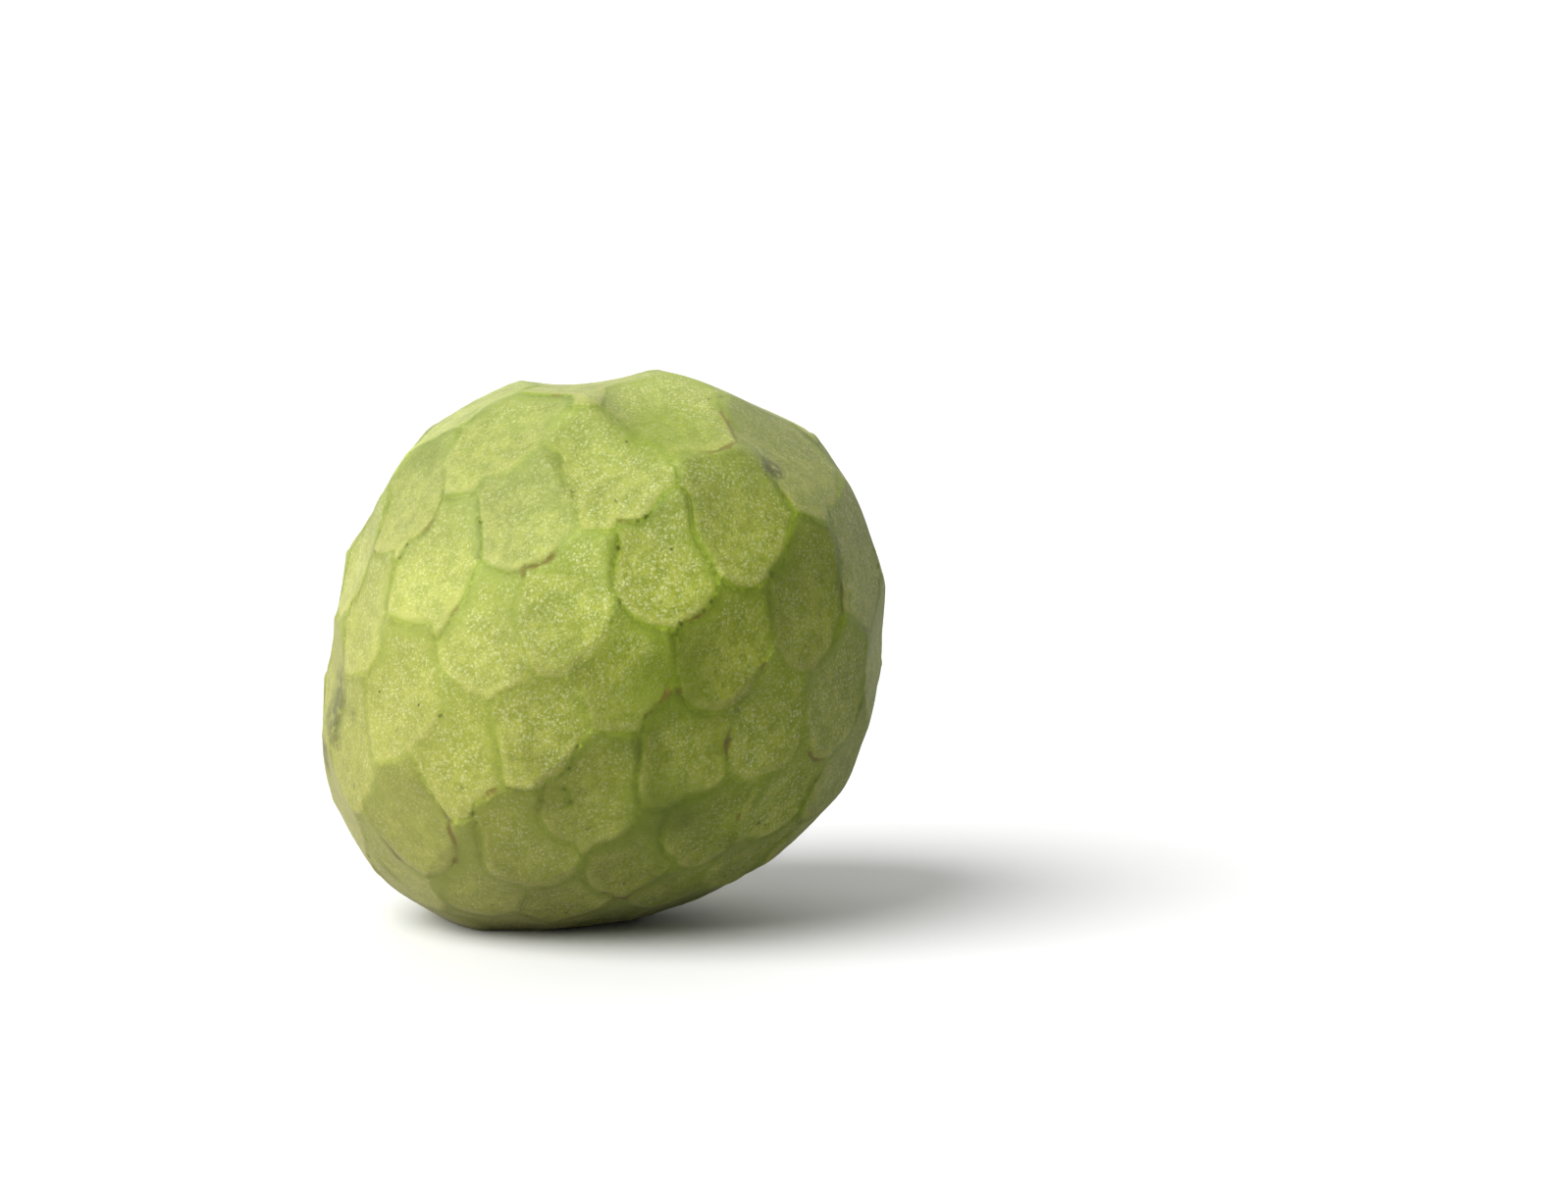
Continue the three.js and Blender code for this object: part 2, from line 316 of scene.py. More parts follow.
def relax(values, edges, rounds):    # averages over joined vertices: a flat face stays as it is
    ends, others = np.concatenate([edges, edges[:, ::-1]]).T
    joined = np.bincount(ends)
    for _ in range(rounds):
        values = np.bincount(ends, weights=values[others]) / joined
    return values


fruitMesh = {
    "icoLevels": 6,
    "cuts": 2,
    "snapReach": 0.00028,
    "snapRounds": 3,
    "slideReach": 1.5,     # longest slide onto a seam, in snap reaches
    "markSeed": 77,
    "scarWander": 0.0012,
    "scarShrink": 0.0006,
    "scarBias": 0.2,
    "farthest": 0.006,     # a distance past this counts as this
    "belowReach": 0.01,
}


# Height of the skin over the body, and what its finish needs to know of each place.
def readSkin(dirs, edges, scales, owner, other, seam):
    bent = bend(dirs)
    strength = seamStrength(dirs)
    own, beside = faceHeight(scales, owner, bent), faceHeight(scales, other, bent)
    start = np.where(seam < fruitMesh["snapReach"], (own + beside) / 2, own)
    step = relax(np.abs(own - beside), edges, face["crispRounds"])
    soft = smoothStep(face["stepLow"], face["stepHigh"], step)    # a high step slopes wider
    crisp = relax(start, edges, face["crispRounds"])
    height = crisp * (1 - soft) + relax(start, edges, face["softRounds"]) * soft
    cut = face["groove"] * (face["grooveLeast"] + (1 - face["grooveLeast"]) * strength)
    height = height - cut * (1 - smoothStep(0, face["grooveWidth"], seam))

    stem, _, _ = stemFrame()
    fromStem = np.arccos(np.clip(dirs @ stem, -1, 1)) * spiral["skinRadius"]
    fade = [hollow[end] * hollow["width"] for end in ("fadeFrom", "fadeTo")]
    present = smoothStep(fade[0], fade[1], fromStem)
    sunk = hollow["depth"] * np.exp(-(fromStem / hollow["width"]) ** 2)
    wall = hollow["socketRadius"]
    socket = 1 - smoothStep(hollow["socketEdge"] * wall, wall, fromStem)
    height = height * present - sunk - socket * hollow["socketDepth"]

    across, along = onPlate(scales, owner, bent)
    alongOther = onPlate(scales, other, bent)[1]
    draw = makeDraws(fruitMesh["markSeed"])
    draws = np.array([[draw() for _ in range(3)] for _ in range(spiral["count"])])[owner]
    aside = across - fruitMesh["scarWander"] * draws[:, 0]
    scar = np.hypot(aside, along - plate["tipReach"] + face["scarBack"])
    scar = scar + fruitMesh["scarShrink"] * np.maximum(draws[:, 1] + fruitMesh["scarBias"], 0)
    return height, {
        "seam": np.clip(seam, 0, fruitMesh["farthest"]) * toMm * present,
        "below": np.clip((alongOther - along) / fruitMesh["belowReach"], -1, 1),
        "along": along / plate["tipReach"],
        "tone": 0.5 + 0.5 * draws[:, 2],
        "scar": np.minimum(scar, fruitMesh["farthest"]) * toMm,
        "strength": strength,
        "fromStem": fromStem * toMm,
    }


# Blender pieces

def addPiece(name, mesh, material, smooth=True):
    data = bpy.data.meshes.new(name)
    mesh.to_mesh(data)
    mesh.free()
    piece = bpy.data.objects.new(name, data)
    bpy.context.scene.collection.objects.link(piece)
    data.materials.append(material)
    if smooth:
        data.shade_smooth()
    return piece


def storeValues(piece, values):    # one number for each vertex, for the finish to read
    for name, numbers in values.items():
        layer = piece.data.attributes.new(name, "FLOAT", "POINT")
        layer.data.foreach_set("value", np.array(numbers, np.float32))


def makeFruit(scales, material):
    mesh = bmesh.new()
    bmesh.ops.create_icosphere(mesh, subdivisions=fruitMesh["icoLevels"], radius=1)
    bmesh.ops.subdivide_edges(mesh, edges=mesh.edges[:], cuts=fruitMesh["cuts"], use_grid_fill=True)
    dirs = unit(np.array([v.co[:] for v in mesh.verts]))
    mesh.verts.index_update()
    edges = np.array([[v.index for v in edge.verts] for edge in mesh.edges])
    snapReach = fruitMesh["snapReach"]
    for _ in range(fruitMesh["snapRounds"]):    # vertices close to a seam move onto it
        owner = findOwner(dirs, scales)
        seam, other, slide = findSeams(dirs, edges, scales, owner)
        length = np.linalg.norm(slide, axis=1) * spiral["skinRadius"]
        onto = ((length < fruitMesh["slideReach"] * snapReach) & (seam < snapReach))[:, None]
        dirs = unit(np.where(onto, dirs + slide, dirs))
    owner = findOwner(dirs, scales)
    seam, other, _ = findSeams(dirs, edges, scales, owner)
    height, skin = readSkin(dirs, edges, scales, owner, other, seam)
    points = dirs * (bodyRadius(dirs) + height)[:, None]
    points[:, 2] = np.maximum(points[:, 2] + body["centreHeight"], 0)
    for vert, point in zip(mesh.verts, points):
        vert.co = point
    piece = addPiece("fruitSkin", mesh, material)
    storeValues(piece, skin)
    print("fruit:", len(piece.data.polygons), "faces")
    return piece


stalk = {
    "radius": 0.0031,
    "inside": 0.0031,
    "height": 0.0042,
    "foot": [(1.0, 0.0003), (0.86, 0.0014)],                   # share of the radius, up from the skin
    "crown": [(0.8, 0.0012), (0.86, 0.0004), (0.78, 0.0)],     # share of the radius, down from the cut
    "turns": 72,
    "cuts": 5,
    "merge": 0.000001,
    "fibres": 11,
    "fineFibres": 29,
    "coarseShare": 0.6,
    "fineShare": 0.4,
    "fibreDepth": 0.00012,
    "cutRough": 0.00025,
    "cutWaves": 3,
    "cutRate": 2500,       # radians per metre out from the middle
    "cutHollow": 0.0002,
    "cutBand": 0.00001,
}


def makeStalk(material):
    stem, _, _ = stemFrame()
    radius, inside = stalk["radius"], stalk["inside"]
    top = inside + stalk["height"]
    profile = [(0, 0), (radius, 0)]
    profile += [(radius * share, inside + up) for share, up in stalk["foot"]]
    profile += [(radius * share, top - down) for share, down in stalk["crown"]]
    profile.append((0, top))
    mesh = bmesh.new()
    verts = [mesh.verts.new((out, 0, up)) for out, up in profile]
    edges = [mesh.edges.new(pair) for pair in zip(verts, verts[1:])]
    bmesh.ops.subdivide_edges(mesh, edges=edges, cuts=stalk["cuts"])
    bmesh.ops.spin(mesh, geom=mesh.verts[:] + mesh.edges[:], axis=(0, 0, 1), cent=(0, 0, 0),
                   steps=stalk["turns"], angle=2 * math.pi, use_merge=True)
    bmesh.ops.remove_doubles(mesh, verts=mesh.verts[:], dist=stalk["merge"])
    bmesh.ops.recalc_face_normals(mesh, faces=mesh.faces[:])
    foot = bodyRadius(stem[None])[0] - hollow["depth"] - inside
    turn = Vector((0, 0, 1)).rotation_difference(Vector(stem)).to_matrix()
    values = {"up": [], "out": []}
    for vert in mesh.verts:
        x, y, z = vert.co
        angle, out = math.atan2(y, x), math.hypot(x, y)
        values["up"].append(z * toMm)
        values["out"].append(out * toMm)
        coarse = math.sin(angle * stalk["fibres"] + 2 * math.sin(angle * 2))
        fine = math.sin(angle * stalk["fineFibres"] + 1)
        groove = coarse * stalk["coarseShare"] + fine * stalk["fineShare"]
        out -= stalk["fibreDepth"] * (1 + groove) * min(out / radius, 1)
        if z > top - stalk["cutBand"]:    # the cut end is rough, and hollow in the middle
            wave = math.sin(angle * stalk["cutWaves"] + out * stalk["cutRate"])
            z -= stalk["cutRough"] * (0.5 + 0.5 * wave) + stalk["cutHollow"] * (1 - out / radius)
        place = Vector((out * math.cos(angle), out * math.sin(angle), z))
        vert.co = turn @ place + Vector(stem) * foot
        vert.co.z += body["centreHeight"]
    piece = addPiece("stalkWood", mesh, material)
    storeValues(piece, values)
    print("stalk:", len(piece.data.polygons), "faces")
    return piece


# Nodes

def addNode(tree, kind, values=None, **settings):
    made = tree.nodes.new("ShaderNode" + kind)
    for name, value in settings.items():
        setattr(made, name, value)
    for name, value in (values or {}).items():
        if isinstance(value, bpy.types.NodeSocket):
            tree.links.new(value, made.inputs[name])
        else:
            made.inputs[name].default_value = value
    return made


def maths(tree, how, a, b=0.0, c=0.0):
    return addNode(tree, "Math", {0: a, 1: b, 2: c}, operation=how).outputs[0]


def times(tree, first, *others):    # all of them multiplied
    for other in others:
        first = maths(tree, "MULTIPLY", first, other)
    return first


def shadeBy(tree, colour, tone):    # a colour made lighter or darker by a number about one
    grey = addNode(tree, "CombineColor", {0: tone, 1: tone, 2: tone}).outputs[0]
    return blend(tree, 1.0, colour, grey, "MULTIPLY")


def awayFrom(tree, where, place):
    return addNode(tree, "VectorMath", {0: where, 1: place}, operation="DISTANCE").outputs["Value"]


def towards(tree, where, way):    # how far along a direction
    return addNode(tree, "VectorMath", {0: where, 1: way}, operation="DOT_PRODUCT").outputs["Value"]


def ramp(tree, value, low, high, start=0.0, end=1.0):    # smooth step between two values
    return addNode(tree, "MapRange", {
        "Value": value, "From Min": low, "From Max": high, "To Min": start, "To Max": end,
    }, interpolation_type="SMOOTHSTEP").outputs[0]


def blend(tree, share, a, b, how="MIX"):
    made = addNode(tree, "Mix", {0: share, 6: a, 7: b}, data_type="RGBA", blend_type=how)
    return made.outputs[2]


def noise(tree, where, scale, detail=2.0, rough=0.5, kind="Fac"):
    made = addNode(tree, "TexNoise", {"Vector": where, "Scale": scale, "Detail": detail, "Roughness": rough})
    return made.outputs[kind]


def attribute(tree, name):
    return addNode(tree, "Attribute", attribute_name=name).outputs["Fac"]


def startMaterial(name):
    made = bpy.data.materials.new(name)
    made.use_nodes = True
    tree = made.node_tree
    tree.nodes.clear()
    shader = addNode(tree, "BsdfPrincipled")
    output = addNode(tree, "OutputMaterial")
    tree.links.new(shader.outputs["BSDF"], output.inputs["Surface"])
    where = addNode(tree, "TexCoord").outputs["Object"]
    return made, tree, shader, where


def startGroup(name, inputs, outputs):
    tree = bpy.data.node_groups.new(name, "ShaderNodeTree")
    for label, kind in inputs.items():
        tree.interface.new_socket(label, in_out="INPUT", socket_type="NodeSocket" + kind)
    for label, kind in outputs.items():
        tree.interface.new_socket(label, in_out="OUTPUT", socket_type="NodeSocket" + kind)
    return tree, tree.nodes.new("NodeGroupInput"), tree.nodes.new("NodeGroupOutput")


# Rough brown cork: cracks and grain, on the stalk and where the skin meets it.
def makeCorkGroup():
    tree, given, result = startGroup(
        "corkGrain",
        {"Where": "Vector", "Scale": "Float", "Dark": "Color", "Light": "Color"},
        {"Colour": "Color", "Height": "Float"},
    )
    coarse = noise(tree, given.outputs["Where"], given.outputs["Scale"], 5.0, 0.65)
    crack = addNode(tree, "TexVoronoi", {
        "Vector": given.outputs["Where"], "Scale": given.outputs["Scale"],
    }, feature="DISTANCE_TO_EDGE").outputs["Distance"]
    cracked = ramp(tree, crack, 0.0, 0.12)
    height = times(tree, coarse, cracked)
    colour = blend(tree, ramp(tree, height, 0.15, 0.65), given.outputs["Dark"], given.outputs["Light"])
    tree.links.new(colour, result.inputs["Colour"])
    tree.links.new(height, result.inputs["Height"])
    return tree


# Slow drift of tone over a surface, about one.
def makeDriftGroup():
    tree, given, result = startGroup(
        "toneDrift", {"Where": "Vector", "Scale": "Float", "Amount": "Float"}, {"Tone": "Float"},
    )
    wave = noise(tree, given.outputs["Where"], given.outputs["Scale"], 3.0, 0.55)
    centred = maths(tree, "SUBTRACT", wave, 0.5)
    tone = maths(tree, "MULTIPLY_ADD", centred, given.outputs["Amount"], 1.0)
    tree.links.new(tone, result.inputs["Tone"])
    return tree


def useGroup(tree, group, values):
    return addNode(tree, "Group", values, node_tree=group)


def forCamera(tree, seen, otherwise):    # one shader for the camera, another for all other light
    ray = addNode(tree, "LightPath").outputs["Is Camera Ray"]
    return addNode(tree, "MixShader", {0: ray, 1: otherwise, 2: seen}).outputs[0]


skinLook = {
    "field": (0.42, 0.46, 0.055, 1),
    "fleck": (0.70, 0.75, 0.36, 1),
    "between": (0.21, 0.27, 0.006, 1),
    # painted sheen: a paler colour on the side the light falls on
    "paintedSheen": (0.66, 0.68, 0.42, 1),
    "paintedSheenSide": (-0.35, -0.2, 0.9),
    "paintedSheenShare": 0.1,
    # painted warm reflection: a tan tint on the lower left rim
    "paintedWarmReflection": (0.50, 0.44, 0.15, 1),
    "paintedWarmReflectionSide": (-0.8, -0.3, -0.52),
    "paintedWarmReflectionShare": 0.36,
    "deepGreenAndShade": (0.17, 0.24, 0.005, 1),
    "patchesGreenerAndShaded": [              # greener, darker patches, partly the skin's own green and partly painted shade and green reflection on the right side: place and radius, metres
        ((0.0125, -0.0240, 0.0890), 0.012),
        ((0.0135, -0.0455, 0.0480), 0.010),
        ((0.0120, -0.0410, 0.0260), 0.010),
    ],
    "blemishes": [            # dark rubbed spots: place and radius, metres
        ((-0.0440, -0.0165, 0.0400), 0.0084),
        ((-0.0462, -0.0090, 0.0300), 0.0054),
        ((0.0310, -0.0240, 0.0815), 0.0034),
    ],
    "seam": (0.22, 0.31, 0.008, 1),
    # dark green for the darker patches, and painted shade below the scales' tips
    "shade": (0.12, 0.17, 0.006, 1),
    # pale tips: partly the skin's own paler tip, partly painted highlight where the raised rim catches light
    "rim": (0.50, 0.50, 0.14, 1),
    "russet": (0.17, 0.07, 0.02, 1),
    "scar": (0.05, 0.035, 0.015, 1),
    "blemish": (0.10, 0.115, 0.02, 1),
    "fleckScale": 1700.0,     # per metre
    "mottleScale": 380.0,
    "grainScale": 2900.0,
    "speckScale": 150.0,
    "warp": 0.0011,
    "roughness": (0.48, 0.62),
    "sheen": 0.22,
    "sheenRoughness": 0.45,
    "sheenTint": (1.0, 0.87, 0.72, 1),
    "specular": 0.32,
    "bumpHeight": 0.00012,
    "cork": {"Scale": 900.0, "Dark": (0.06, 0.035, 0.015, 1), "Light": (0.30, 0.20, 0.09, 1)},
    "corkRing": (5.5, 7.5),   # millimetres from the stalk where the cork starts to fade and where it ends
}


def makeSkin(cork, drift):
    look = skinLook
    made, tree, shader, where = startMaterial("skin")
    seam, below = attribute(tree, "seam"), attribute(tree, "below")
    tone, scar, fromStem = attribute(tree, "tone"), attribute(tree, "scar"), attribute(tree, "fromStem")
    strength, along = attribute(tree, "strength"), attribute(tree, "along")

    # bands along the seams, wider where a scale dips under its neighbour's tip
    edgeNoise = noise(tree, where, 260.0, 3.0, 0.6)
    seamWay = maths(tree, "MULTIPLY_ADD", maths(tree, "SUBTRACT", edgeNoise, 0.5), 2.4, seam)
    vary = ramp(tree, noise(tree, where, 62.0, 2.0), 0.36, 0.64, 0.55, 1.7)
    wide = times(tree, ramp(tree, below, -0.2, 0.9, 0.9, 3.0), vary)
    band = ramp(tree, maths(tree, "DIVIDE", seamWay, wide), 0.0, 1.0, 1.0, 0.0)
    line = ramp(tree, seam, 0.0, 0.45, 1.0, 0.0)
    ownEdge = ramp(tree, below, 0.0, -0.7)
    rimShape = times(tree, ramp(tree, seam, 0.2, 0.7), ramp(tree, seam, 1.0, 2.4, 1.0, 0.0))
    rim = times(tree, rimShape, ownEdge)
    cut = ramp(tree, strength, 0.0, 1.0, 0.1, 1.0)

    # flecks
    push = addNode(tree, "VectorMath", {
        0: noise(tree, where, 700.0, 2.0, kind="Color"), 1: (look["warp"],) * 3, 2: where,
    }, operation="MULTIPLY_ADD").outputs[0]
    cell = addNode(tree, "TexVoronoi", {"Vector": push, "Scale": look["fleckScale"]})
    spot = ramp(tree, cell.outputs["Distance"], 0.0, 0.74, 1.0, 0.0)
    pick = addNode(tree, "SeparateColor", {0: cell.outputs["Color"]}).outputs[0]
    chosen = ramp(tree, pick, 0.0, 0.8, 0.25, 1.0)
    grain = noise(tree, where, look["grainScale"], 3.0, 0.65)
    mottle = ramp(tree, noise(tree, push, look["mottleScale"], 4.0, 0.62), 0.4, 0.62)
    patchy = ramp(tree, noise(tree, where, 170.0, 3.0, 0.6), 0.32, 0.62, 0.5, 1.0)
    fleck = times(tree, spot, chosen, ramp(tree, grain, 0.3, 0.6, 0.35, 1.0), patchy)
    atSeam = times(tree, band, ramp(tree, strength, 0.0, 1.0, 0.6, 1.0))
    field = maths(tree, "SUBTRACT", 1.0, atSeam)
    fleck = times(tree, fleck, ramp(tree, field, 0.0, 1.0, 0.1, 1.0))

    # colour
    patch = useGroup(tree, drift, {"Where": where, "Scale": 60.0, "Amount": 0.8}).outputs["Tone"]
    clouded = maths(tree, "MULTIPLY_ADD", mottle, 0.5, times(tree, ramp(tree, grain, 0.36, 0.64), 0.5))
    lower = ramp(tree, along, -1.0, 0.45, 0.4, 1.0)    # paler towards the tip
    colour = blend(tree, times(tree, clouded, lower), look["between"], look["field"])
    colour = blend(tree, ramp(tree, field, 0.0, 1.0, 0.35, 1.0), look["seam"], colour)
    raised = towards(tree, where, look["paintedSheenSide"])
    paintedSheen = ramp(tree, raised, 0.045, 0.085, 0.0, look["paintedSheenShare"])    # painted sheen: paler towards the top and left, the side the light falls on
    colour = blend(tree, paintedSheen, colour, look["paintedSheen"])
    fleck = times(tree, fleck, ramp(tree, tone, 0.0, 1.0, 0.6, 0.95))
    colour = blend(tree, fleck, colour, look["fleck"])
    # pale tips: partly the skin's own paler tip, partly painted highlight where the raised rim catches light
    tip = times(tree, ramp(tree, along, 0.2, 0.95), rim)
    colour = blend(tree, times(tree, tip, 0.25), colour, look["rim"])
    colour = blend(tree, times(tree, line, cut, 0.7), colour, look["seam"])
    deep = ramp(tree, noise(tree, where, 34.0, 3.0, 0.55), 0.54, 0.7, 0.0, 0.4)    # darker patches
    colour = blend(tree, deep, colour, look["shade"])
    # greener, darker patches: partly the skin's own green, partly painted shade and green reflection
    for place, radius in look["patchesGreenerAndShaded"]:
        near = ramp(tree, awayFrom(tree, where, place), 0.3 * radius, radius, 0.6, 0.0)
        colour = blend(tree, near, colour, look["deepGreenAndShade"])
    # painted shade on the lower scale just past a neighbour's tip, where the step would throw it
    foot = times(tree, ramp(tree, seamWay, 0.0, 1.5, 1.0, 0.0), ramp(tree, below, 0.2, 0.8))
    colour = blend(tree, times(tree, foot, cut, 0.55), colour, look["shade"])
    colour = shadeBy(tree, colour, times(tree, patch, ramp(tree, tone, 0.0, 1.0, 0.9, 1.08)))
    turned = towards(tree, where, look["paintedWarmReflectionSide"])
    paintedWarmReflection = ramp(tree, turned, -0.025, 0.03, 0.0, look["paintedWarmReflectionShare"])    # painted warm reflection: tanner on the lower left, towards the light
    colour = blend(tree, paintedWarmReflection, colour, look["paintedWarmReflection"])

    # marks
    worn = noise(tree, where, 520.0, 4.0, 0.65)
    ragged = maths(tree, "SUBTRACT", noise(tree, where, 130.0, 3.0, 0.6), 0.5)    # breaks up their outlines
    for place, radius in look["blemishes"]:
        away = maths(tree, "MULTIPLY_ADD", ragged, 2.6 * radius, awayFrom(tree, where, place))
        near = ramp(tree, away, 0.4 * radius, radius, 1.0, 0.0)
        rubbed = times(tree, near, ramp(tree, worn, 0.34, 0.54, 0.0, 0.85))
        colour = blend(tree, rubbed, colour, look["blemish"])
    rust = ramp(tree, noise(tree, where, 95.0, 2.0), 0.58, 0.68)
    rust = times(tree, rust, ramp(tree, seamWay, 0.05, 0.6, 1.0, 0.0))
    colour = blend(tree, times(tree, rust, 0.6), colour, look["russet"])
    dot = ramp(tree, scar, 0.2, 0.6, 1.0, 0.0)
    dot = times(tree, dot, ramp(tree, noise(tree, where, 900.0, 1.0), 0.35, 0.6, 0.3, 1.0))
    colour = blend(tree, times(tree, dot, 0.8), colour, look["scar"])
    speck = addNode(tree, "TexVoronoi", {"Vector": where, "Scale": look["speckScale"]})
    speckPick = addNode(tree, "SeparateColor", {0: speck.outputs["Color"]}).outputs[1]
    speckle = ramp(tree, speck.outputs["Distance"], 0.02, 0.055, 1.0, 0.0)
    speckle = times(tree, speckle, ramp(tree, speckPick, 0.42, 0.5))
    colour = blend(tree, times(tree, speckle, 0.75), colour, look["scar"])

    # cork round the stalk
    corked = useGroup(tree, cork, {"Where": where, **look["cork"]})
    ringNoise = maths(tree, "MULTIPLY_ADD", noise(tree, where, 300.0), 3.0, fromStem)
    ring = ramp(tree, ringNoise, *look["corkRing"], 1.0, 0.0)
    colour = blend(tree, ring, colour, corked.outputs["Colour"])
    tree.links.new(colour, shader.inputs["Base Color"])

    # surface
    tree.links.new(ramp(tree, grain, 0.3, 0.7, *look["roughness"]), shader.inputs["Roughness"])
    shader.inputs["Sheen Weight"].default_value = look["sheen"]
    shader.inputs["Sheen Roughness"].default_value = look["sheenRoughness"]
    shader.inputs["Sheen Tint"].default_value = look["sheenTint"]
    shader.inputs["Specular IOR Level"].default_value = look["specular"]
    height = maths(tree, "MULTIPLY_ADD", fleck, 0.4, times(tree, grain, 0.6))
    pits = noise(tree, where, 330.0, 3.0, 0.6)
    height = maths(tree, "MULTIPLY_ADD", pits, 1.8, height)
    height = maths(tree, "MULTIPLY_ADD", times(tree, corked.outputs["Height"], ring), 4.0, height)
    bump = addNode(tree, "Bump", {"Height": height, "Distance": look["bumpHeight"], "Strength": 1.0})
    tree.links.new(bump.outputs[0], shader.inputs["Normal"])
    return made


woodLook = {
    "cork": {"Scale": 1100.0, "Dark": (0.045, 0.03, 0.015, 1), "Light": (0.26, 0.19, 0.11, 1)},
    "fibre": (0.33, 0.26, 0.17, 1),
    "ringDark": (0.20, 0.13, 0.07, 1),
    "ringLight": (0.42, 0.32, 0.19, 1),
    "stretch": (1, 1, 0.16),  # the grain runs along the stalk
    "fibreScale": 2600.0,
    "ringRate": 9.0,          # radians per millimetre out from the middle
    "cutStart": 0.35,         # millimetres below the cut where its end grain starts to show
    "cutFull": 0.1,
    "roughness": (0.75, 0.95),
    "bumpHeight": 0.0002,
}


def makeWood(cork, drift):
    look = woodLook
    made, tree, shader, where = startMaterial("stalkWood")
    up, out = attribute(tree, "up"), attribute(tree, "out")
    lean = (math.radians(body["leanBack"]), -math.radians(body["leanRight"]), 0)
    along = addNode(tree, "Mapping", {
        "Vector": where, "Rotation": lean, "Scale": look["stretch"],
    }).outputs[0]
    fibre = noise(tree, along, look["fibreScale"], 4.0, 0.65)
    corked = useGroup(tree, cork, {"Where": along, **look["cork"]})
    fibrous = ramp(tree, fibre, 0.35, 0.7, 0.0, 0.5)
    colour = blend(tree, fibrous, corked.outputs["Colour"], look["fibre"])
    top = (stalk["inside"] + stalk["height"]) * toMm
    cut = ramp(tree, up, top - look["cutStart"], top - look["cutFull"])
    phase = maths(tree, "MULTIPLY_ADD", fibre, 5.0, times(tree, out, look["ringRate"]))
    rings = ramp(tree, maths(tree, "SINE", phase), -1.0, 1.0)
    colour = blend(tree, cut, colour, blend(tree, rings, look["ringDark"], look["ringLight"]))
    tone = useGroup(tree, drift, {"Where": where, "Scale": 400.0, "Amount": 0.9}).outputs["Tone"]
    tree.links.new(shadeBy(tree, colour, tone), shader.inputs["Base Color"])
    tree.links.new(ramp(tree, fibre, 0.3, 0.7, *look["roughness"]), shader.inputs["Roughness"])
    height = maths(tree, "ADD", corked.outputs["Height"], fibre)
    bump = addNode(tree, "Bump", {"Height": height, "Distance": look["bumpHeight"], "Strength": 0.9})
    tree.links.new(bump.outputs[0], shader.inputs["Normal"])
    return made


studio = {
    "floorSize": 6.0,
    "floorColour": (0.88, 0.88, 0.88, 1),
    "floorRoughness": 0.7,
    "white": (1, 1, 1, 1),
    "backdropSize": 9.0,
    "backdropAway": 2.4,
    "backdropGlow": 1.05,
    "bounce": 0.40,
    "ambient": 0.36,
    "ambientRight": 0.14,     # ambient light from the right, as a share of that from the left
    "ambientAbove": 1.5,      # ambient light from straight above, as a multiple of that from level
    "ambientFade": (-0.6, 0.9),    # how far to the left and right it goes on changing
    "keyFrom": (-0.80, -0.50, 0.90),
    "keyStrength": 3.9,
    "keySpread": 55.0,        # degrees
}


def makeFloorFinish(drift):
    made, tree, shader, where = startMaterial("studioFloor")
    tone = useGroup(tree, drift, {"Where": where, "Scale": 6.0, "Amount": 0.03}).outputs["Tone"]
    colour = shadeBy(tree, studio["floorColour"], tone)
    tree.links.new(colour, shader.inputs["Base Color"])
    shader.inputs["Roughness"].default_value = studio["floorRoughness"]
    dull = addNode(tree, "BsdfDiffuse", {"Color": (studio["bounce"],) * 3 + (1,)})    # lights the fruit
    output = next(n for n in tree.nodes if n.type == "OUTPUT_MATERIAL")
    tree.links.new(forCamera(tree, shader.outputs[0], dull.outputs[0]), output.inputs["Surface"])
    return made


def makeBackdropFinish():
    made = bpy.data.materials.new("studioBackdrop")
    made.use_nodes = True
    tree = made.node_tree
    tree.nodes.clear()
    glow = addNode(tree, "Emission", {"Color": studio["white"], "Strength": studio["backdropGlow"]})
    output = addNode(tree, "OutputMaterial")
    tree.links.new(glow.outputs[0], output.inputs["Surface"])
    return made


def makeSheet(name, size, place, turn, material):
    mesh = bmesh.new()
    bmesh.ops.create_grid(mesh, x_segments=1, y_segments=1, size=size / 2)
    bmesh.ops.rotate(mesh, verts=mesh.verts[:], cent=(0, 0, 0), matrix=Matrix.Rotation(turn, 3, "X"))
    bmesh.ops.translate(mesh, verts=mesh.verts[:], vec=place)
    sheet = addPiece(name, mesh, material, smooth=False)
    return sheet


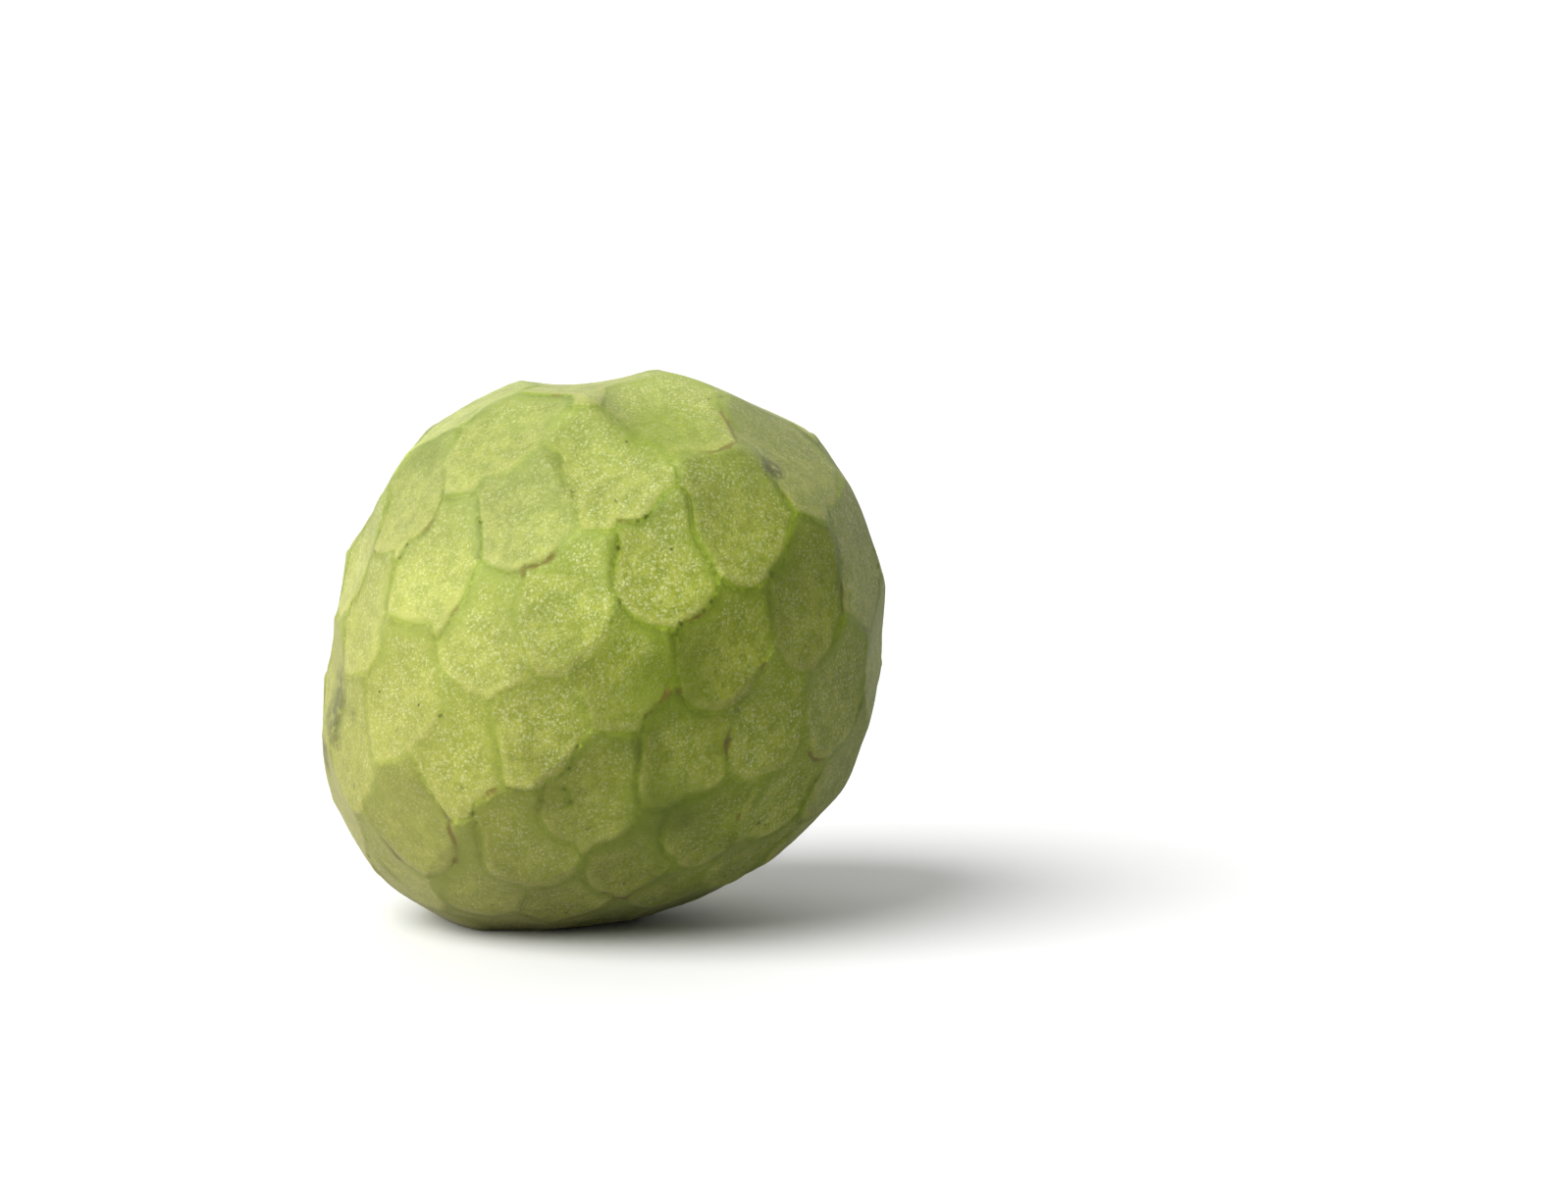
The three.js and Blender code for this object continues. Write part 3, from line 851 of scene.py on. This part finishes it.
def makeAir():    # soft light from all round, less of it from the right
    world = bpy.data.worlds.new("studioAir")
    world.use_nodes = True
    tree = world.node_tree
    tree.nodes.clear()
    way = addNode(tree, "TexCoord").outputs["Generated"]
    parts = addNode(tree, "SeparateXYZ", {0: way}).outputs
    least = studio["ambient"] * studio["ambientRight"]
    glow = ramp(tree, parts["X"], *studio["ambientFade"], studio["ambient"], least)
    glow = times(tree, glow, ramp(tree, parts["Z"], 0.0, 1.0, 1.0, studio["ambientAbove"]))
    lighting = addNode(tree, "Background", {"Color": studio["white"], "Strength": glow})
    beyond = addNode(tree, "Background", {"Color": studio["white"], "Strength": 1.0})    # past the floor
    mixed = forCamera(tree, beyond.outputs[0], lighting.outputs[0])
    tree.links.new(mixed, addNode(tree, "OutputWorld").inputs["Surface"])
    bpy.context.scene.world = world


def makeKey():
    light = bpy.data.lights.new("key", "SUN")
    light.energy = studio["keyStrength"]
    light.angle = math.radians(studio["keySpread"])
    key = bpy.data.objects.new("key", light)
    key.rotation_euler = Vector(studio["keyFrom"]).to_track_quat("Z", "Y").to_euler()
    bpy.context.scene.collection.objects.link(key)


cork, drift = makeCorkGroup(), makeDriftGroup()
scales = layScales()

fruit = makeFruit(scales, makeSkin(cork, drift))
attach(fruit, "root")
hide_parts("fruit")

stalkPiece = makeStalk(makeWood(cork, drift))
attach(stalkPiece, "root")
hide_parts("stem")
print("pieces made")

makeSheet("floor", studio["floorSize"], (0, 0, 0), 0, makeFloorFinish(drift))
backdropPlace = (0, studio["backdropAway"], 0)
makeSheet("backdrop", studio["backdropSize"], backdropPlace, math.pi / 2, makeBackdropFinish())
makeAir()
makeKey()
print("studio lit")

photo = {
    "away": 0.769,
    "raised": 7.5,         # degrees above level
    "lens": 100.0,         # millimetres, as is the sensor
    "sensor": 36.0,
    "farthest": 20.0,
    "aim": (0.0345, 0.0014, 0.0581),
}


def makeCamera():
    data = bpy.data.cameras.new("camera")
    data.lens = photo["lens"]
    data.sensor_width = photo["sensor"]
    data.clip_end = photo["farthest"]
    camera = bpy.data.objects.new("camera", data)
    rise = math.radians(photo["raised"])
    middle = Vector((0, 0, body["centreHeight"]))
    camera.location = middle + photo["away"] * Vector((0, -math.cos(rise), math.sin(rise)))
    camera.rotation_euler = (Vector(photo["aim"]) - camera.location).to_track_quat("-Z", "Y").to_euler()
    bpy.context.scene.collection.objects.link(camera)
    bpy.context.scene.camera = camera


makeCamera()
print("camera placed")
bpy.context.scene.view_settings.view_transform = "Standard"
